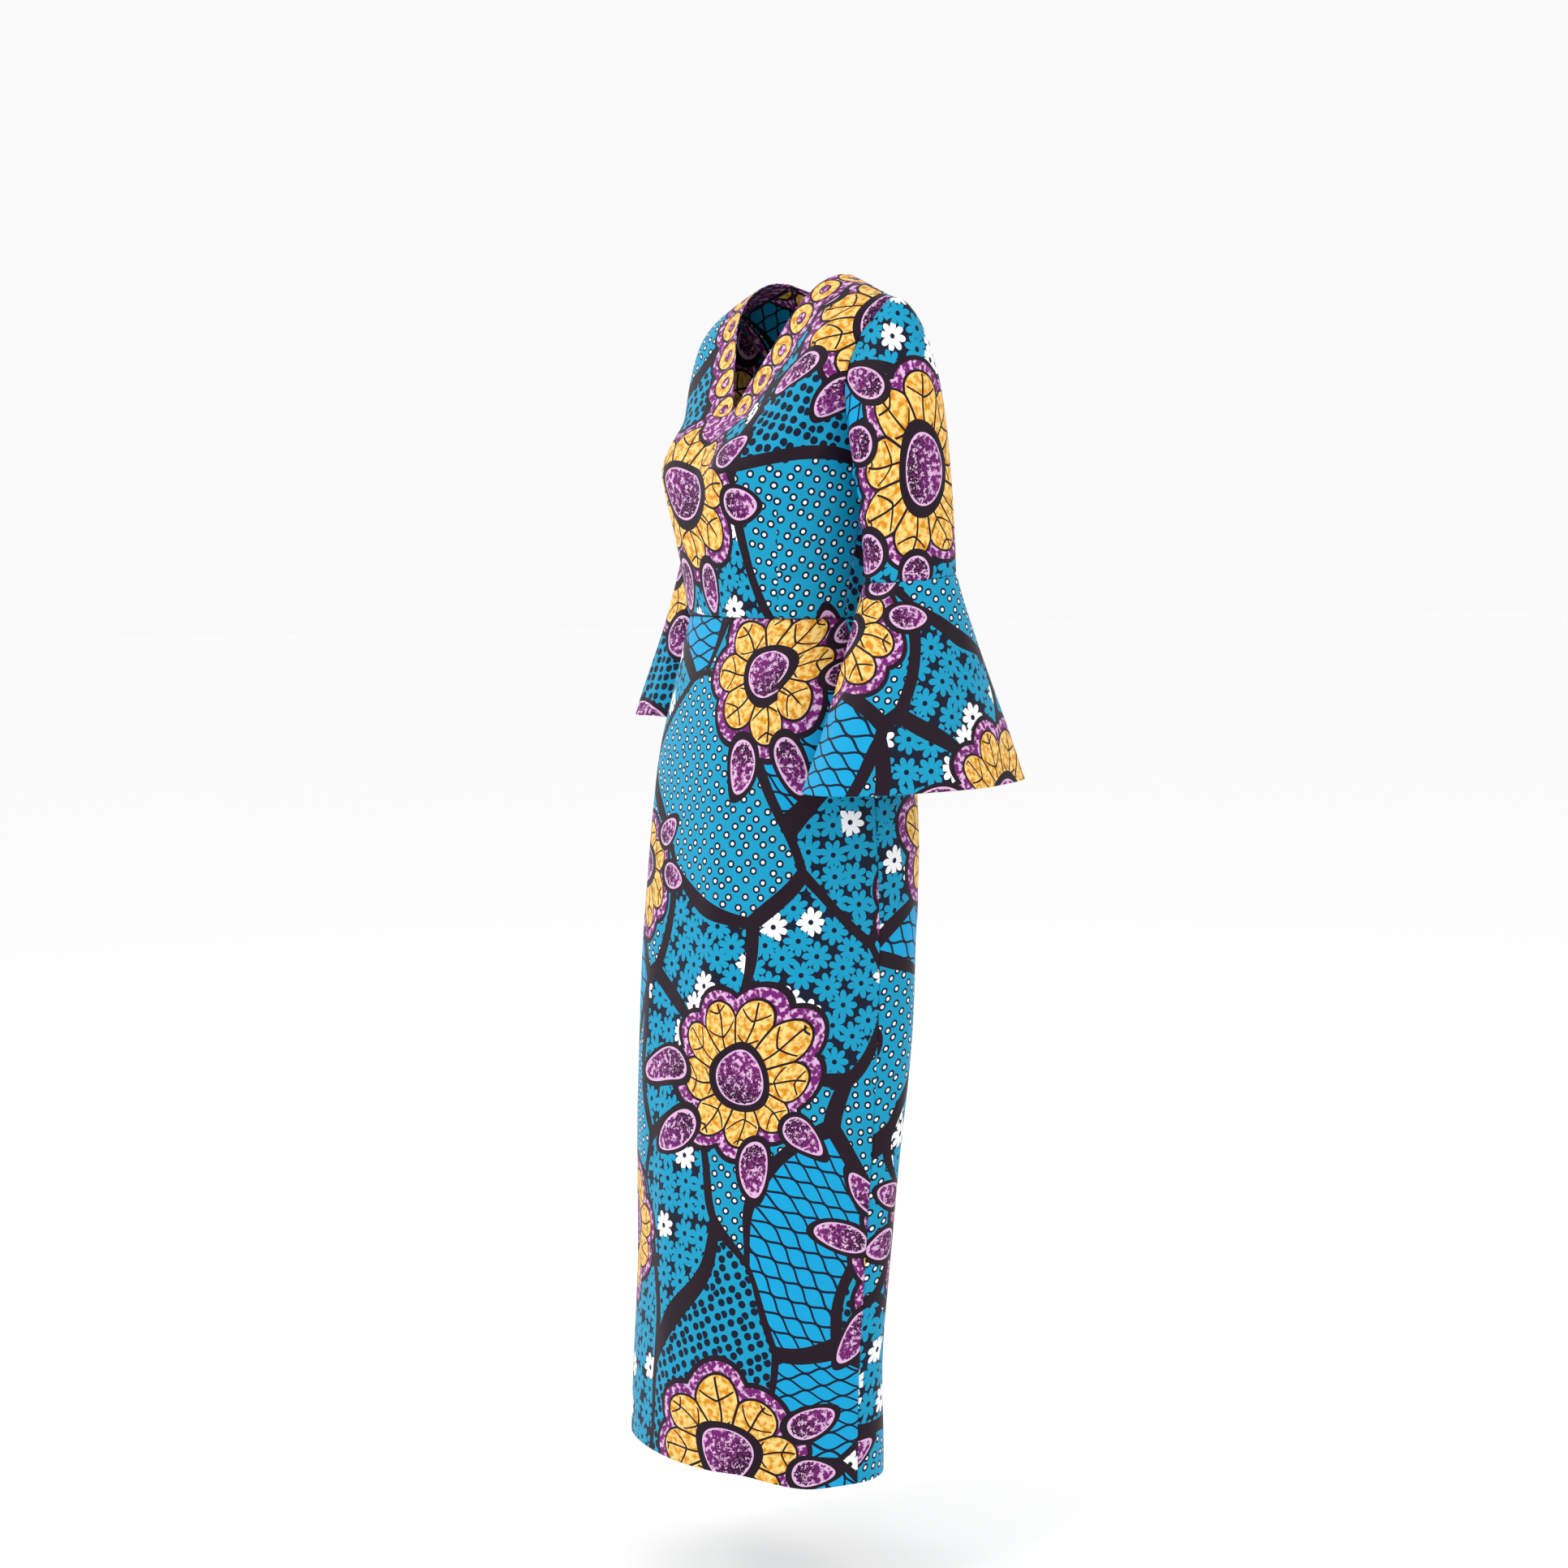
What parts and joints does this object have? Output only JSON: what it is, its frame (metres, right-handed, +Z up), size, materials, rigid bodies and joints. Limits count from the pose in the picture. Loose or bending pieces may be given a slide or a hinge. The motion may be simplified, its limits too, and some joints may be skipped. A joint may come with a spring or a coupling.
{
  "type": "ankara flare dress",
  "caption": "Long fitted column dress in printed cotton with a V neck, a waist seam, elbow-length sleeves and flared bell flounces, in its hollow worn form.",
  "frame": {"origin": "midway between the two neck points of the shoulder seams, where the shoulders carry the dress", "axes": "+Z up, -Y the way the wearer faces, +X towards the wearer's left"},
  "size_m": [0.62, 0.3873, 1.372],
  "materials": {
    "bodice_front": "printed wax cotton, smooth with a slight sheen",
    "bodice_back": "printed wax cotton, smooth with a slight sheen",
    "skirt_front": "printed wax cotton, smooth with a slight sheen",
    "skirt_back": "printed wax cotton, smooth with a slight sheen",
    "sleeve": "printed wax cotton, smooth with a slight sheen",
    "flounce": "printed wax cotton, smooth with a slight sheen"
  },
  "bodies": {
    "root": {"bodice_front": "bodice_front", "bodice_back_left": "bodice_back", "bodice_back_right": "bodice_back", "skirt_front": "skirt_front", "skirt_back_left": "skirt_back", "skirt_back_right": "skirt_back", "sleeve_left": "sleeve", "sleeve_right": "sleeve", "flounce_left": "flounce", "flounce_right": "flounce"}
  },
  "joints": []
}
